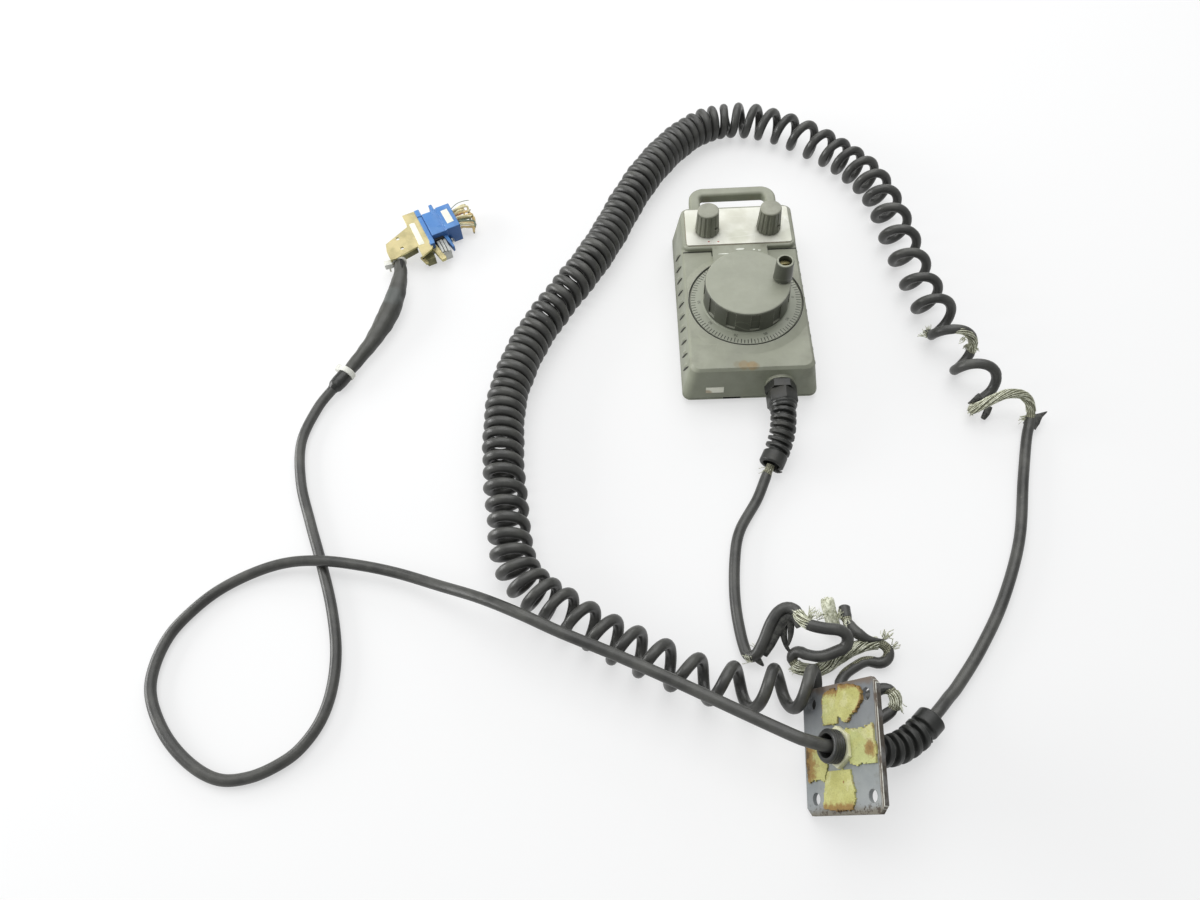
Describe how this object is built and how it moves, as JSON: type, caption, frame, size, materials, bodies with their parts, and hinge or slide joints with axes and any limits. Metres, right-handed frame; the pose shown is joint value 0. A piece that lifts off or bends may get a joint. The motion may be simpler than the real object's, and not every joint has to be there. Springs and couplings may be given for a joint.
{
  "type": "pulse generator handwheel",
  "caption": "Hand-held pulse generator pendant with a graduated handwheel, two selector knobs, a carry handle, a curly lead and a panel plate with a tail connector.",
  "frame": {"origin": "on the rear face of the case, on the handwheel's axis", "axes": "+Y towards the carry handle, +X to the operator's right, +Z out of the dial"},
  "size_m": [0.574, 0.5766, 0.0723],
  "materials": {
    "case_plastic": "dark grey moulded plastic, dusty from use",
    "gasket_rubber": "black sealing rubber",
    "zinc_screw": "zinc plated steel",
    "legend_sheet": "satin silver sheet with its print worn off",
    "black_plastic": "black moulded plastic",
    "board": "green circuit board",
    "steel": "turned steel",
    "disc_plate": "etched metal disc",
    "brass": "turned brass",
    "dial_paint": "dark ring with engraved white lines",
    "wheel_plastic": "worn grey moulded plastic",
    "knob_plastic": "worn grey moulded plastic",
    "gland_plastic": "black moulded plastic",
    "label_white": "white plastic label",
    "lead_black": "black cable jacket",
    "locknut_plastic": "off-white moulded nylon",
    "plate_paint": "blue grey paint, worn bright at one edge",
    "foam": "yellow brown remains of a foam gasket",
    "heat_shrink": "black heat shrink sleeve",
    "tie_white": "white nylon",
    "zinc_yellow": "yellow zinc plated steel",
    "socket_blue": "blue moulded plastic",
    "lock_metal": "die cast metal",
    "wire_mixed": "bundle of thin insulated wires"
  },
  "bodies": {
    "case": {"front_cover": "case_plastic", "rear_cover": "case_plastic", "cover_gasket": "gasket_rubber", "cover_screws": "zinc_screw", "legend_plate": "legend_sheet", "encoder_body": "black_plastic", "encoder_screws": "zinc_screw", "encoder_bearings": "steel", "encoder_rear_cap": "black_plastic", "encoder_board": "board", "terminal_block": "black_plastic", "terminal_screws": "zinc_screw", "left_switch": "black_plastic", "left_switch_nut": "steel", "right_switch": "black_plastic", "right_switch_nut": "steel", "gland_body": "gland_plastic", "gland_locknut": "gland_plastic", "gland_seal": "gasket_rubber", "gland_boot": "gland_plastic", "end_label": "label_white", "pendant_lead": "lead_black", "worn_loops": "lead_black", "curly_lead": "lead_black", "plate_lead": "lead_black", "plate_boot": "gland_plastic", "plate_gland_body": "gland_plastic", "plate_locknut": "locknut_plastic", "panel_plate": "plate_paint", "plate_gaskets": "foam", "tail_lead": "lead_black", "tail_ferrule": "heat_shrink", "wire_sleeve": "heat_shrink", "cable_ties": "tie_white", "connector_bracket": "zinc_yellow", "connector_socket": "socket_blue", "connector_plug": "socket_blue", "connector_hardware": "lock_metal", "wire_tails": "wire_mixed"},
    "wheel": {"encoder_shaft": "steel", "code_disc": "disc_plate", "wheel_hub": "brass", "hub_set_screw": "steel", "dial_ring": "dial_paint", "handwheel": "wheel_plastic", "crank_screw": "brass"},
    "finger_knob": {"finger_knob": "wheel_plastic"},
    "left_selector": {"left_selector_shaft": "steel", "left_selector_knob": "knob_plastic", "left_set_screw": "steel"},
    "right_selector": {"right_selector_shaft": "steel", "right_selector_knob": "knob_plastic", "right_set_screw": "steel"}
  },
  "joints": [
    {"name": "wheel_spin", "type": "hinge", "parent": "case", "child": "wheel", "pos_m": [0, 0, 0.046], "axis": [0, 0, 1], "continuous": true},
    {"name": "finger_knob_spin", "type": "hinge", "parent": "wheel", "child": "finger_knob", "pos_m": [0.02391, 0.00209, 0.064], "axis": [0, 0, 1], "continuous": true},
    {"name": "left_selector_turn", "type": "hinge", "parent": "case", "child": "left_selector", "pos_m": [-0.0227, 0.0673, 0.048], "axis": [0, 0, 1], "range_deg": [-75, 75]},
    {"name": "right_selector_turn", "type": "hinge", "parent": "case", "child": "right_selector", "pos_m": [0.0227, 0.0673, 0.048], "axis": [0, 0, 1], "range_deg": [-45, 45]}
  ]
}
